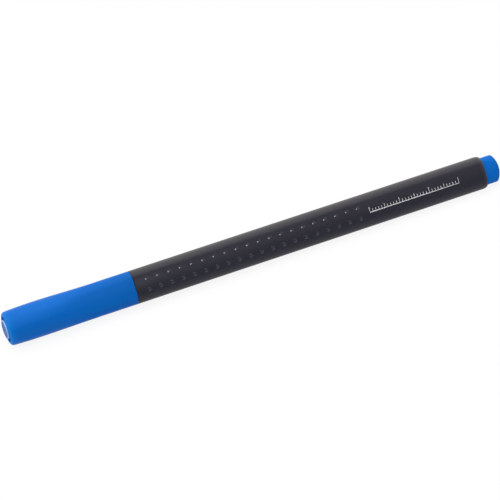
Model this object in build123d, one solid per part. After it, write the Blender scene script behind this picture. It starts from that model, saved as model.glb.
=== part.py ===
from build123d import *

import math
import os
from collections import namedtuple

# A capped fineliner pen that lies along X, cap end at -X and end plug at +X, in millimetres.
# The barrel is a rounded triangle with one face down. The cap is three-sided at its mouth and
# swells into a round end. Shapes are drawn about the pen's own axis, with x = 0 at the barrel's
# front face, and are then set down so that the origin is under the middle of the closed pen.

# Barrel: a tube of rounded-triangle section with slightly crowned faces.
barrel_length = 115.9
barrel_width = 10.24  # across two corners, square to the third
barrel_corner_radius = 3.0
barrel_crown_radius = 13.0  # of each of the three faces
barrel_wall = 1.2
barrel_rear_round_length = 1.6
barrel_rear_round_depth = 0.75
edge_break = 0.12  # where barrel and cap meet

# Grip dots: low buttons with a bevelled edge, in two rows on each face.
dot_diameter = 1.2
dot_top_diameter = 0.8
dot_height = 0.12
dot_pitch = 3.63
dot_first = 4.0  # from the barrel's front face to the first dot
dot_row_offset = 1.67  # from the middle of the face
dots_per_row = 20
dot_bond = 0.01  # between a dot and the face it sits on

# Cap: shell open at both ends, with ribs inside that hold the liner.
cap_length = 39.88
cap_wall = 0.75
cap_seam = 0.05  # between the cap's mouth and the barrel
cap_clearance = 0.08  # round what the cap's mouth goes over
cap_sleeve_length = 12.0  # three-sided stretch behind the mouth
cap_crown_length = 9.88  # from the widest, round place to the end
cap_swell_radius = 5.36
cap_end_radius = 5.11
cap_end_round = 1.05
cap_end_wall = 1.1
cap_vent_radius = 3.95
cap_rib_start = 1.9  # from the mouth
cap_rib_setback = 3.45  # from the cap's end
cap_rib_width = 0.9

# Cap liner: a cup that seals round the nose, with a boss that stands out of the cap's open end.
liner_mouth = 11.0  # from the cap's mouth
liner_bore_radius = 2.45
liner_lead_in = 0.3
liner_end_length = 6.45  # from the bottom of the cup to the cap's end
liner_flange_radius = 3.55
liner_flange_length = 0.9
liner_boss_radius = 2.95
liner_boss_stand = 0.5  # out of the cap's end
liner_boss_chamfer = 0.2
liner_clearance = 0.04

# Nose section: a stopper in the barrel's front that carries the nib.
nose_collar_length = 1.4
nose_lead_in = 0.3
nose_spigot_length = 8.0
nose_seat_radius = 3.0
nose_bead_radius = 3.12
nose_bead_at = 5.2
nose_bead_length = 1.4
nose_seat_end = 8.6
nose_step_length = 0.9
nose_land_end = 14.6
nose_tip_radius = 1.2
nose_tip_round = 0.35
nose_pocket_radius = 1.5
nose_pocket_end = 12.0
bead_clearance = 0.06
seal_clearance = 0.05

# Nib: a fibre rod in a steel tube.
nib_room = 2.45  # from the nib's tip to the bottom of the liner
nib_tube_radius = 0.8
nib_tube_bare_length = 4.6  # ahead of the nose
nib_tube_seat_length = 6.6  # inside the nose
nib_tube_neck_length = 1.1
nib_tube_lip = 0.08
nib_core_radius = 0.42
nib_bare_length = 0.8  # ahead of the tube
nib_tip_radius = 0.2
nib_reach = 6.0  # how far the rod runs into the reservoir
nib_clearance = 0.02

# Ink reservoir: a fibre rod in a film sleeve.
film_radius = 2.84
film_thickness = 0.08
reservoir_clearance = 0.02
reservoir_end_gap = 0.2

# End plug: a stopper in the barrel's rear with a domed head, on which the cap also fits.
plug_head_length = 5.25
plug_dome_depth = 1.55  # from the flat middle of the dome to the head's corners
plug_flat_radius = 1.0
plug_edge_round = 0.4
plug_spigot_length = 9.0
plug_spigot_wall = 0.9
plug_pocket_depth = 8.2

# Both stoppers are pressed in behind a low snap rib.
press_clearance = 0.03
snap_rib_height = 0.12
snap_rib_width = 0.8
snap_rib_setback = 4.0

overrun = 1.0  # of every cut past the face that it opens

# Places and shapes that follow from the sizes above. Places in the cap and its liner are measured
# from the cap's mouth, and places on the nose and nib from the barrel's front face.
face_angles = (-90, 30, 150)  # outward directions of the faces, from +Y towards +Z
quarter_turn_shares = (0, 0.25, 0.5, 0.75, 1)  # stations round a rounded edge
swell_shares = (0, 0.2, 0.4, 0.6, 0.8, 1)  # stations along the swell
cap_swell_at = cap_length - cap_crown_length
cap_rib_end = cap_length - cap_rib_setback
liner_floor = cap_length - liner_end_length
nib_tip = cap_seam + liner_floor - nib_room
nib_tube_end = nib_tip - nib_bare_length
nose_tip = nib_tube_end - nib_tube_bare_length
nib_tube_start = nose_tip - nib_tube_seat_length
post_inset = cap_wall + cap_clearance
spigot_inset = barrel_wall + press_clearance
rib_inner_radius = nose_bead_radius + bead_clearance
axis_height = cap_swell_radius
front_end = -cap_seam - cap_length - liner_boss_stand
overall_length = barrel_length + plug_head_length - front_end
placed = Location((-front_end - overall_length / 2, 0, axis_height))

# A rounded triangle: three corner arcs whose centres stand corner_offset from the axis, and three
# face arcs whose centres stand face_setback behind the axis. They are tangent at join_angle to
# either side of a face's outward direction.
Outline = namedtuple(
    "Outline", "corner_offset face_setback corner_radius face_radius join_angle"
)


def direction(angle):
    """Unit vector across the pen at an angle from +Y towards +Z, in degrees."""
    return Vector(0, math.cos(math.radians(angle)), math.sin(math.radians(angle)))


def barrel_outline():
    """The barrel's outer outline, from its width, corner radius and crown radius."""
    offset = (barrel_width / 2 - barrel_corner_radius) / math.sin(math.radians(60))
    reach = barrel_crown_radius - barrel_corner_radius
    setback = (math.sqrt(4 * reach**2 - 3 * offset**2) - offset) / 2
    join = math.degrees(math.asin(offset * math.sin(math.radians(60)) / reach))
    return Outline(offset, setback, barrel_corner_radius, barrel_crown_radius, join)


def inset(outline, depth):
    """The same outline, drawn in by depth all round."""
    return outline._replace(
        corner_radius=outline.corner_radius - depth,
        face_radius=outline.face_radius - depth,
    )


def rounder(outline, share, radius):
    """The outline moved by a share of the way to a circle of the given radius."""
    rest = 1 - share
    offset = outline.corner_offset * rest
    tip = (outline.corner_offset + outline.corner_radius) * rest + radius * share
    spread = (outline.face_radius - outline.corner_radius) * rest
    return outline._replace(
        corner_offset=offset,
        face_setback=outline.face_setback * rest,
        corner_radius=tip - offset,
        face_radius=tip - offset + spread,
    )


def section(outline, x):
    """The outline as a face across the pen at x."""
    join = outline.join_angle
    centre = Vector(x, 0, 0)
    edges = []
    for angle in face_angles:
        corner = centre + direction(angle + 60) * outline.corner_offset
        before = centre + direction(angle - 60) * outline.corner_offset
        middle = centre + direction(angle) * (outline.face_radius - outline.face_setback)
        tip = corner + direction(angle + 60) * outline.corner_radius
        first = before + direction(angle - join) * outline.corner_radius
        second = corner + direction(angle + join) * outline.corner_radius
        third = corner + direction(angle + 120 - join) * outline.corner_radius
        edges.append(Edge.make_three_point_arc(first, middle, second))
        edges.append(Edge.make_three_point_arc(second, tip, third))
    return Face(Wire(edges))


def prism(outline, start, end):
    """The outline carried straight from start to end along the pen."""
    return extrude(section(outline, start), amount=end - start, dir=(1, 0, 0))


def skinned(stations, ruled=False):
    """A solid through a list of (outline, x)."""
    return loft([section(outline, x) for outline, x in stations], ruled=ruled)


def rounded_end(outline, end, length, depth):
    """The last stretch of a prism before end, drawn in along a quarter of an ellipse."""
    stations = []
    for share in quarter_turn_shares:
        turn = math.radians(90 * share)
        x = end - length * (1 - math.sin(turn))
        stations.append((inset(outline, depth * (1 - math.cos(turn))), x))
    return skinned(stations)


def turned(points):
    """A body of revolution about the pen's axis, from (x, radius) points."""
    return revolve(make_face(Polyline(*points, close=True)), axis=Axis.X)


def snap_rib(outline, centre, clearance):
    """A short prism across the pen at centre: a rib, or with a clearance the groove for it."""
    half = snap_rib_width / 2 + clearance
    return prism(outline, centre - half, centre + half)


outer = barrel_outline()
bore = inset(outer, barrel_wall)
post = inset(outer, post_inset)
spigot = inset(outer, spigot_inset)
rib = inset(spigot, -snap_rib_height)
groove = inset(bore, -snap_rib_height)
front_rib = snap_rib_setback
rear_rib = barrel_length - snap_rib_setback


def barrel():
    """Triangular tube with a broken front edge and a rounded rear edge."""
    straight_end = barrel_length - barrel_rear_round_length
    body = skinned([(inset(outer, edge_break), 0), (outer, edge_break)], ruled=True)
    body += prism(outer, edge_break, straight_end)
    body += rounded_end(outer, barrel_length, barrel_rear_round_length, barrel_rear_round_depth)
    body -= prism(bore, -overrun, barrel_length + overrun)
    body -= snap_rib(groove, front_rib, press_clearance)
    body -= snap_rib(groove, rear_rib, press_clearance)
    return body


def button(face_angle, offset):
    """One dot on a face, at the first place of the row that stands offset from the middle."""
    outward = face_angle + math.degrees(math.asin(offset / outer.face_radius))
    height = dot_height - dot_bond
    reach = outer.face_radius + dot_bond + height / 2
    middle = direction(outward) * reach - direction(face_angle) * outer.face_setback
    dot = Cone(dot_diameter / 2, dot_top_diameter / 2, height)
    return Pos(dot_first, middle.Y, middle.Z) * Rot(outward - 90, 0, 0) * dot


def grip_dots(face_angle):
    """All dots of one face, as separate solids."""
    dots = []
    for offset in (-dot_row_offset, dot_row_offset):
        first = button(face_angle, offset).solid()
        for place in range(dots_per_row):
            dots.append(first.moved(Location((dot_pitch * place, 0, 0))))
    return Compound(dots)


def nose_section():
    """Stopper with a three-sided collar, a round seat for the cap, a sealing land and a cone."""
    collar_front = -nose_collar_length
    land_radius = liner_bore_radius - seal_clearance
    bead_half = nose_bead_length / 2
    lead = [(inset(post, nose_lead_in), collar_front), (post, collar_front + nose_lead_in)]
    body = skinned(lead, ruled=True)
    body += prism(post, collar_front + nose_lead_in, 0)
    body += prism(spigot, 0, nose_spigot_length)
    body += snap_rib(rib, front_rib, 0)
    body += turned(
        [
            (0, 0),
            (0, nose_seat_radius),
            (-nose_bead_at + bead_half, nose_seat_radius),
            (-nose_bead_at, nose_bead_radius),
            (-nose_bead_at - bead_half, nose_seat_radius),
            (-nose_seat_end, nose_seat_radius),
            (-nose_seat_end - nose_step_length, land_radius),
            (-nose_land_end, land_radius),
            (-nose_tip + nose_tip_round, nose_tip_radius),
            (-nose_tip, nose_tip_radius - nose_tip_round),
            (-nose_tip, 0),
        ]
    )
    tube_hole = nib_tube_radius + nib_clearance
    core_hole = nib_core_radius + nib_clearance
    body -= turned(
        [
            (nose_spigot_length + overrun, 0),
            (nose_spigot_length + overrun, nose_pocket_radius),
            (-nose_pocket_end, nose_pocket_radius),
            (-nose_pocket_end, core_hole),
            (-nib_tube_start, core_hole),
            (-nib_tube_start, tube_hole),
            (-nose_tip - overrun, tube_hole),
            (-nose_tip - overrun, 0),
        ]
    )
    return body


def nib_tube():
    """Steel tube, necked down to the fibre at its front."""
    hole = nib_core_radius + nib_clearance
    return turned(
        [
            (-nib_tube_start, hole),
            (-nib_tube_start, nib_tube_radius),
            (-nib_tube_end + nib_tube_neck_length, nib_tube_radius),
            (-nib_tube_end, hole + nib_tube_lip),
            (-nib_tube_end, hole),
        ]
    )


def nib_core():
    """Fibre rod from the writing point back into the reservoir."""
    rear = nose_spigot_length + nib_reach
    shoulder = -nib_tip + nib_tip_radius
    round_share = math.sqrt(0.5)
    round_middle = (shoulder - nib_tip_radius * round_share, nib_tip_radius * round_share)
    outline = [
        Polyline(
            (-nib_tip, 0),
            (rear, 0),
            (rear, nib_core_radius),
            (-nib_tube_end, nib_core_radius),
            (shoulder, nib_tip_radius),
        ),
        ThreePointArc((shoulder, nib_tip_radius), round_middle, (-nib_tip, 0)),
    ]
    return revolve(make_face(outline), axis=Axis.X)


reservoir_start = nose_spigot_length + reservoir_end_gap
reservoir_end = barrel_length - plug_spigot_length - reservoir_end_gap


def ink_reservoir():
    """Fibre rod with the blind hole that the nib's rod runs into."""
    radius = film_radius - film_thickness - reservoir_clearance
    hole = nib_core_radius + nib_clearance
    hole_end = nose_spigot_length + nib_reach + nib_clearance
    return turned(
        [
            (reservoir_start, hole),
            (reservoir_start, radius),
            (reservoir_end, radius),
            (reservoir_end, 0),
            (hole_end, 0),
            (hole_end, hole),
        ]
    )


def reservoir_film():
    """Thin film sleeve round the fibre rod."""
    return turned(
        [
            (reservoir_start, film_radius - film_thickness),
            (reservoir_start, film_radius),
            (reservoir_end, film_radius),
            (reservoir_end, film_radius - film_thickness),
        ]
    )


def plug_head():
    """Three-sided head whose end falls away from a flat middle to its rounded edge."""
    end = barrel_length + plug_head_length
    tip = post.corner_offset + post.corner_radius
    dome_edge = (end - plug_dome_depth, tip)
    beyond_dome = [
        TangentArc((end, plug_flat_radius), dome_edge, tangent=(0, 1)),
        Polyline(
            dome_edge,
            (end - plug_dome_depth, tip + overrun),
            (end + overrun, tip + overrun),
            (end + overrun, plug_flat_radius),
            (end, plug_flat_radius),
        ),
    ]
    head = prism(post, barrel_length, end) - revolve(make_face(beyond_dome), axis=Axis.X)
    dome = head.faces().sort_by(Axis.X)[-2]
    return fillet(dome.outer_wire().edges(), plug_edge_round)


def end_plug():
    """Stopper with a domed head that the cap fits over, and a hollow spigot."""
    inside_start = barrel_length - plug_spigot_length
    body = plug_head()
    body += prism(spigot, inside_start, barrel_length)
    body += snap_rib(rib, rear_rib, 0)
    pocket = inset(spigot, plug_spigot_wall)
    body -= prism(pocket, inside_start - overrun, inside_start + plug_pocket_depth)
    return body


def cap_x(depth):
    """Place along the pen of a point at some depth inside the cap, measured from its mouth."""
    return -cap_seam - depth


def cap_swell(depth):
    """The cap between its three-sided sleeve and its round end, drawn in by depth."""
    stations = []
    for share in swell_shares:
        eased = share**2 * (3 - 2 * share)
        place = cap_sleeve_length + (cap_swell_at - cap_sleeve_length) * share
        outline = rounder(outer, eased, cap_swell_radius)
        stations.append((inset(outline, depth), cap_x(place)))
    return skinned(stations)


def cap_crown(depth, end):
    """The round stretch from the widest place to end, drawn in by depth."""
    widest = cap_x(cap_swell_at)
    outline = [
        Polyline((cap_x(end), 0), (widest, 0), (widest, cap_swell_radius - depth)),
        TangentArc(
            (widest, cap_swell_radius - depth),
            (cap_x(end), cap_end_radius - depth),
            tangent=(-1, 0),
        ),
        Line((cap_x(end), cap_end_radius - depth), (cap_x(end), 0)),
    ]
    return revolve(make_face(outline), axis=Axis.X)


def cap_ribs():
    """Three ribs along the corners of the cap, from its wall in to the liner."""
    reach = cap_swell_radius + overrun - rib_inner_radius
    length = cap_rib_end - cap_rib_start
    middle = cap_x((cap_rib_start + cap_rib_end) / 2)
    ribs = []
    for angle in face_angles:
        bar = Pos(middle, rib_inner_radius + reach / 2, 0) * Box(length, reach, cap_rib_width)
        ribs.append(Rot(angle + 60, 0, 0) * bar)
    return ribs


def cap_shell():
    """Shell that is flush with the barrel at its mouth and round at its vented end."""
    crown = cap_crown(0, cap_length)
    crown = fillet(crown.edges().sort_by(Axis.X)[0], cap_end_round)
    body = skinned([(outer, cap_x(edge_break)), (inset(outer, edge_break), cap_x(0))], ruled=True)
    body += prism(outer, cap_x(cap_sleeve_length), cap_x(edge_break))
    body += cap_swell(0)
    body += crown
    hollow = prism(inset(outer, cap_wall), cap_x(cap_sleeve_length), cap_x(0) + overrun)
    hollow += cap_swell(cap_wall)
    hollow += cap_crown(cap_wall, cap_length - cap_end_wall)
    shell = body - hollow
    for bar in cap_ribs():
        shell += bar & body
    vent = Rot(0, 90, 0) * Cylinder(cap_vent_radius, 2 * (cap_end_wall + overrun))
    return shell - Pos(cap_x(cap_length), 0, 0) * vent


def cap_liner():
    """Inner cup: sealing mouth, flange that seats on the ribs' ends, and boss out of the cap's end."""
    body_radius = rib_inner_radius - liner_clearance
    flange_start = cap_rib_end + liner_clearance
    flange_end = flange_start + liner_flange_length
    boss_end = cap_length + liner_boss_stand
    return turned(
        [
            (cap_x(liner_mouth), liner_bore_radius + liner_lead_in),
            (cap_x(liner_mouth), body_radius),
            (cap_x(flange_start), body_radius),
            (cap_x(flange_start), liner_flange_radius),
            (cap_x(flange_end), liner_flange_radius),
            (cap_x(flange_end), liner_boss_radius),
            (cap_x(boss_end - liner_boss_chamfer), liner_boss_radius),
            (cap_x(boss_end), liner_boss_radius - liner_boss_chamfer),
            (cap_x(boss_end), 0),
            (cap_x(liner_floor), 0),
            (cap_x(liner_floor), liner_bore_radius),
            (cap_x(liner_mouth + liner_lead_in), liner_bore_radius),
        ]
    )


nodes = {
    "barrel": barrel(),
    "grip_dots_under": grip_dots(face_angles[0]),
    "grip_dots_back": grip_dots(face_angles[1]),
    "grip_dots_front": grip_dots(face_angles[2]),
    "nose_section": nose_section(),
    "nib_tube": nib_tube(),
    "nib_core": nib_core(),
    "ink_reservoir": ink_reservoir(),
    "reservoir_film": reservoir_film(),
    "end_plug": end_plug(),
    "cap_shell": cap_shell(),
    "cap_liner": cap_liner(),
}

os.makedirs("parts", exist_ok=True)
for name, shape in nodes.items():
    export_step(placed * shape, f"parts/{name}.step")
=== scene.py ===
import math

import bpy
import numpy as np
from bpy.props import FloatProperty, FloatVectorProperty, IntProperty, PointerProperty
from bpy.types import Operator, Panel, PropertyGroup
from mathutils import Matrix, Vector


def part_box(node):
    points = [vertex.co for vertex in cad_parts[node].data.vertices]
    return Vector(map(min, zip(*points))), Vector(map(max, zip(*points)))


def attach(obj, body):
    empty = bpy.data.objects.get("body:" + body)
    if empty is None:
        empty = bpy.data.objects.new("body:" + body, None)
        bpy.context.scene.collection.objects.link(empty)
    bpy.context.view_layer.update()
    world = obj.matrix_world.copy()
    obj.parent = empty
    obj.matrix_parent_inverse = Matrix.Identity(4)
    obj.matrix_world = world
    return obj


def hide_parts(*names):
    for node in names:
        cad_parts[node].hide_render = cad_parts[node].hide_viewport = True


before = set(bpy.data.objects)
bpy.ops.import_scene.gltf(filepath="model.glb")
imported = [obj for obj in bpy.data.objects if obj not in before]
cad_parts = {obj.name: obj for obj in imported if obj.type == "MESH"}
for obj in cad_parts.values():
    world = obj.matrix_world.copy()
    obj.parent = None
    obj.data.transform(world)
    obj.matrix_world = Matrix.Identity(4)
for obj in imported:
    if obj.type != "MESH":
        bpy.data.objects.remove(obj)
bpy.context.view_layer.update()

# The surfaces, finishes and stage of a capped fineliner pen, in metres. The pen lies along X with
# its cap at -X, one barrel face down, and its places along X come from the CAD frame.

bl_info = {
    "name": "Fineliner pen",
    "version": (1, 0, 0),
    "blender": (4, 5, 0),
    "location": "3D View > Sidebar > Fineliner",
    "description": "Builds a capped fineliner pen on its CAD frame, and the stage it is shown on",
    "category": "Object",
}


def span(node):
    """The lowest and the highest place of a CAD node along the pen."""
    low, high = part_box(node)
    return low.x, high.x


def width(node):
    """A CAD node's width across the pen, level with the floor."""
    low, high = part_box(node)
    return high.y - low.y


CAP_END, CAP_MOUTH = span("cap_shell")
BOSS_END, LINER_MOUTH = span("cap_liner")
BARREL_FRONT, BARREL_REAR = span("barrel")
NOSE_TIP, NOSE_REAR = span("nose_section")
TUBE_FRONT, TUBE_REAR = span("nib_tube")
NIB_TIP, NIB_REAR = span("nib_core")
PLUG_FRONT, PLUG_END = span("end_plug")
RESERVOIR_FRONT, RESERVOIR_REAR = span("ink_reservoir")
BARREL_WIDTH = width("barrel")
CAP_WIDTH = width("cap_shell")
TUBE_WIDTH = width("nib_tube")
NIB_WIDTH = width("nib_core")
AXIS_HEIGHT = sum(corner.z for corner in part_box("nib_core")) / 2

# Outward directions of the three faces, from +Y towards +Z: under, back and front.
FACE_ANGLES = np.radians([-90.0, 30.0, 150.0])
SIXTH_TURN = math.radians(60)
QUARTER_TURN = math.radians(90)
SHARP_EDGE = math.radians(35)

# How finely the surfaces are drawn.
FACE_COLUMNS = 15
CORNER_COLUMNS = 12
RIB_COLUMNS = np.radians([-9.0, -3.0, 3.0, 9.0])
RIB_CLEAR_ANGLE = math.radians(15)
EDGE_STEPS = 6
SWELL_ROWS = 48
CROWN_ROWS = 16
STRAIGHT_ROWS = 12
DOT_SEGMENTS = 16
DOT_RINGS = 4
TICK_ROWS = 4
SKY_COLUMNS = 48
SKY_ROWS = 13

# Shares: of a run that an eased corner may take, of a radius for the ring round a pole, and of the
# camera's distance for where its view starts.
EASE_SHARE = 0.45
POLE_SHARE = 0.25
CLIP_SHARE = 0.01

# Ticks of the scale that are taller: every fifth, and every tenth once more.
MEDIUM_TICK = 5
LONG_TICK = 10

# Features to the metre of the finishes' grains, along the pen and across it.
FLOW_GRAIN = (60.0, 1400.0, 1400.0)
STEEL_GRAIN = (120.0, 16000.0, 16000.0)
NIB_GRAIN = (700.0, 15000.0, 15000.0)
STORE_GRAIN = (300.0, 6000.0, 6000.0)
FILM_GRAIN = (150.0, 900.0, 900.0)
PLASTIC_CLOUD, PLASTIC_FINE = (220.0,) * 3, (6500.0,) * 3
RUBBER_CLOUD, RUBBER_FINE = (900.0,) * 3, (9000.0,) * 3
CUP_CLOUD, CUP_FINE = (500.0,) * 3, (5000.0,) * 3
INK_CLOUD = (5000.0,) * 3
FLOOR_CLOUD = (6.0,) * 3

# Depths of those grains, in metres.
PLASTIC_DEPTH = 0.0000015
RUBBER_DEPTH = 0.000001
STEEL_DEPTH = 0.000002
NIB_DEPTH = 0.00001
STORE_DEPTH = 0.00002
FILM_DEPTH = 0.00003

# Sockets of a Mix node that mixes colours.
MIX_FACTOR, MIX_FIRST, MIX_SECOND, MIX_RESULT = 0, 6, 7, 2
BLACK = (0.0, 0.0, 0.0)
WHITE = (1.0, 1.0, 1.0, 1.0)


def length(name, description, default):
    """A size in metres."""
    return FloatProperty(
        name=name, description=description, default=default, unit="LENGTH", precision=6
    )


def colour(name, description, default):
    """A linear colour."""
    return FloatVectorProperty(
        name=name, description=description, default=default, subtype="COLOR", min=0, max=1
    )


def share(name, description, default):
    """A plain number, such as a roughness or a part of a whole."""
    return FloatProperty(name=name, description=description, default=default)


def watts(name, description, default):
    """The power of a lamp."""
    return FloatProperty(name=name, description=description, default=default, unit="POWER")


def spot(name, description, default):
    """A point in metres."""
    return FloatVectorProperty(
        name=name, description=description, default=default, subtype="TRANSLATION", unit="LENGTH"
    )


def angle(name, description, default):
    """An angle in radians, from a default in degrees."""
    return FloatProperty(
        name=name, description=description, default=math.radians(default), unit="ROTATION"
    )


class BarrelSizes(PropertyGroup):
    """Sizes of the three-sided barrel."""

    corner_radius: length("Corner radius", "Radius of the rounded corners", 0.003)
    crown_radius: length("Crown radius", "Radius of the slightly crowned faces", 0.013)
    wall: length("Wall", "Thickness of the tube", 0.0012)
    edge_break: length("Edge break", "Rounding of the front edge", 0.00012)
    rear_length: length("Rear rounding length", "Length of the rounded rear edge", 0.0016)
    rear_depth: length("Rear rounding depth", "How far the rear edge draws in", 0.00075)


class DotSizes(PropertyGroup):
    """Sizes and places of the grip dots."""

    diameter: length("Diameter", "Width of a dot", 0.0012)
    height: length("Height", "Height of a dot over the face", 0.000052)
    bed: length("Bed", "How deep a dot's rim sits in the face", 0.00002)
    pitch: length("Pitch", "Distance between dots of a row", 0.00363)
    first: length("First dot", "From the barrel's front edge to the first dot", 0.004)
    row_offset: length("Row offset", "From the middle of the face to a row", 0.00167)
    count: IntProperty(name="Count", description="Dots in a row", default=20, min=1)


class CapSizes(PropertyGroup):
    """Sizes of the cap's shell; depths are measured from its mouth."""

    wall: length("Wall", "Thickness of the shell", 0.00075)
    edge_break: length("Edge break", "Rounding of the edges at the mouth and the vent", 0.00012)
    sleeve: length("Sleeve", "Depth of the three-sided stretch", 0.012)
    crown_length: length("Crown length", "From the widest place to the end", 0.00988)
    end_radius: length("End radius", "Radius at the end, before its edge is rounded", 0.00511)
    end_round: length("End rounding", "Rounding of the end's edge", 0.00105)
    end_wall: length("End wall", "Thickness of the end", 0.0011)
    vent_radius: length("Vent radius", "Radius of the opening in the end", 0.00395)
    rib_start: length("Rib start", "Depth of the ribs' front ends", 0.0019)
    rib_setback: length("Rib setback", "From the ribs' rear ends to the cap's end", 0.00345)
    rib_width: length("Rib width", "Width of the ribs inside the corners", 0.0009)
    rib_radius: length("Rib radius", "Radius that the ribs leave open", 0.00318)
    rib_ramp: length("Rib ramp", "Length of the ribs' sloping ends", 0.00005)


class LinerSizes(PropertyGroup):
    """Sizes of the cup inside the cap."""

    bore_radius: length("Bore radius", "Radius of the cup's bore", 0.00245)
    body_radius: length("Body radius", "Radius of the cup's outside", 0.00314)
    lead_in: length("Lead-in", "Chamfer at the mouth of the bore", 0.0003)
    end_length: length("End length", "From the cup's floor to the cap's end", 0.00645)
    flange_radius: length("Flange radius", "Radius of the flange", 0.00355)
    flange_setback: length("Flange setback", "From the flange's front to the cap's end", 0.00341)
    flange_length: length("Flange length", "Thickness of the flange", 0.0009)
    boss_radius: length("Boss radius", "Radius of the boss in the vent", 0.00295)
    boss_chamfer: length("Boss chamfer", "Chamfer round the boss", 0.0002)
    edge_round: length("Edge rounding", "Rounding of the moulded edges", 0.00012)


class NoseSizes(PropertyGroup):
    """Sizes of the nose section; distances are measured ahead of the barrel's front edge."""

    collar_inset: length("Collar inset", "How far the collar stands inside the outline", 0.00083)
    collar_length: length("Collar length", "Length of the three-sided collar", 0.0014)
    lead_in: length("Lead-in", "Chamfer of the collar", 0.0003)
    spigot_inset: length("Spigot inset", "How far the spigot stands inside the outline", 0.00123)
    seat_radius: length("Seat radius", "Radius of the cap's seat", 0.003)
    bead_radius: length("Bead radius", "Radius of the bead that holds the cap", 0.00312)
    bead_at: length("Bead place", "Distance of the bead", 0.0052)
    bead_length: length("Bead length", "Length of the bead", 0.0014)
    seat_end: length("Seat end", "Distance of the seat's front end", 0.0086)
    step_length: length("Step length", "Length of the slope down to the land", 0.0009)
    land_radius: length("Land radius", "Radius of the land that the cap's cup seals on", 0.0024)
    land_end: length("Land end", "Distance of the land's front end", 0.0146)
    tip_radius: length("Tip radius", "Radius at the front of the cone", 0.0012)
    tip_round: length("Tip rounding", "Rounding of the cone's front edge", 0.00035)
    tube_hole: length("Tube hole", "Radius of the hole for the nib's tube", 0.00082)
    pocket_radius: length("Pocket radius", "Radius of the hollow behind", 0.0015)
    pocket_end: length("Pocket end", "Distance of the hollow's bottom", 0.012)
    edge_round: length("Edge rounding", "Rounding of the moulded edges", 0.0001)


class NibSizes(PropertyGroup):
    """Sizes of the nib's steel tube and its fibre."""

    neck_length: length("Neck length", "Length of the tube's narrowing front", 0.0011)
    lip: length("Lip", "Thickness of the tube at its front", 0.00008)
    hole_radius: length("Hole radius", "Radius of the tube's hole", 0.00044)
    tip_radius: length("Tip radius", "Radius of the writing point", 0.0002)
    edge_round: length("Edge rounding", "Rounding of the tube's edges", 0.00006)


class PlugSizes(PropertyGroup):
    """Sizes of the plug in the barrel's rear."""

    head_inset: length("Head inset", "How far the head stands inside the barrel's outline", 0.00083)
    dome_depth: length("Dome depth", "From the flat middle of the dome to the head's corners", 0.00155)
    flat_radius: length("Flat radius", "Radius of the flat middle of the dome", 0.001)
    edge_round: length("Edge rounding", "Rounding between the head's side and its dome", 0.0004)
    spigot_inset: length("Spigot inset", "How far the spigot stands inside the outline", 0.00123)
    spigot_wall: length("Spigot wall", "Thickness of the hollow spigot", 0.0009)
    pocket_depth: length("Pocket depth", "Depth of the hollow in the spigot", 0.0082)


class PrintSizes(PropertyGroup):
    """Sizes of the plain white scale on the front face."""

    start: length("Start", "From the barrel's front edge to the scale", 0.0764)
    rule_length: length("Rule length", "Length of the scale's line", 0.030)
    rule_width: length("Rule width", "Width of the scale's line", 0.00022)
    rule_drop: length("Rule drop", "How far the line runs below the middle of the face", 0.00068)
    tick_pitch: length("Tick pitch", "Distance between ticks", 0.001)
    tick_width: length("Tick width", "Width of a tick", 0.00014)
    tick_height: length("Tick height", "Height of a short tick", 0.0009)
    tick_growth: share("Tick growth", "Share that a fifth tick is taller, and a tenth once more", 0.45)
    lift: length("Lift", "How far the ink stands over the face", 0.00001)
    ink: length("Ink", "Thickness of the ink", 0.000008)


class FinishColours(PropertyGroup):
    """Colours and roughnesses of the finishes."""

    black: colour("Black plastic", "Barrel and nose", (0.0075, 0.0075, 0.0212))
    black_roughness: share("Black roughness", "Roughness of the black plastic", 0.44)
    black_gloss: share("Black gloss", "Specular level of the black plastic", 0.37)
    rubber: colour("Black rubber", "Grip dots", (0.025, 0.025, 0.044))
    rubber_roughness: share("Rubber roughness", "Roughness of the dots", 0.225)
    rubber_gloss: share("Rubber gloss", "Specular level of the dots", 0.68)
    blue: colour("Blue plastic", "Cap and end plug", (0.0, 0.138, 0.555))
    blue_roughness: share("Blue roughness", "Roughness of the blue plastic", 0.42)
    blue_gloss: share("Blue gloss", "Specular level of the blue plastic", 0.07)
    # Painted glow: emission at the cap's thin end, standing in for light through the plastic, and how
    # far it reaches.
    painted_cap_glow: colour("Cap glow", "Light that comes through the cap's thin end", (0.0, 0.042, 0.065))
    painted_glow_length: length("Glow length", "How far the cap's end glows", 0.0022)
    cup_blue: colour("Cup blue", "Middle of the cup inside the cap", (0.048, 0.150, 0.40))
    # Painted glow: emission of the cup inside the cap, standing in for light through the shell.
    painted_cup_glow: colour("Cup glow", "Light that the cup passes on inside the cap", (0.0, 0.04, 0.11))
    # Painted highlight: the pale colour on the boss's edge.
    pale_blue: colour("Pale blue plastic", "Edge of the cup's boss", (0.34, 0.54, 1.0))
    pale_blue_roughness: share("Pale blue roughness", "Roughness of the cup", 0.5)
    pale_blue_gloss: share("Pale blue gloss", "Specular level of the cup", 0.03)
    # Where the painted highlight on the boss's edge starts and where it is palest.
    painted_rim_start: share("Rim start", "Share of the boss's radius where its edge turns pale", 0.85)
    painted_rim_full: share("Rim full", "Share of the radius where it is palest", 0.97)
    steel: colour("Steel", "Tube of the nib", (0.62, 0.63, 0.65))
    ink: colour("Blue ink", "Soaked fibre", (0.02, 0.06, 0.36))
    dry_fibre: colour("Dry fibre", "Fibre that the ink has not reached", (0.55, 0.62, 0.80))
    film: colour("Film", "Sleeve of the reservoir", (0.82, 0.86, 0.92))
    white_ink: colour("White ink", "Scale on the barrel", (0.80, 0.81, 0.84))


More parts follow.
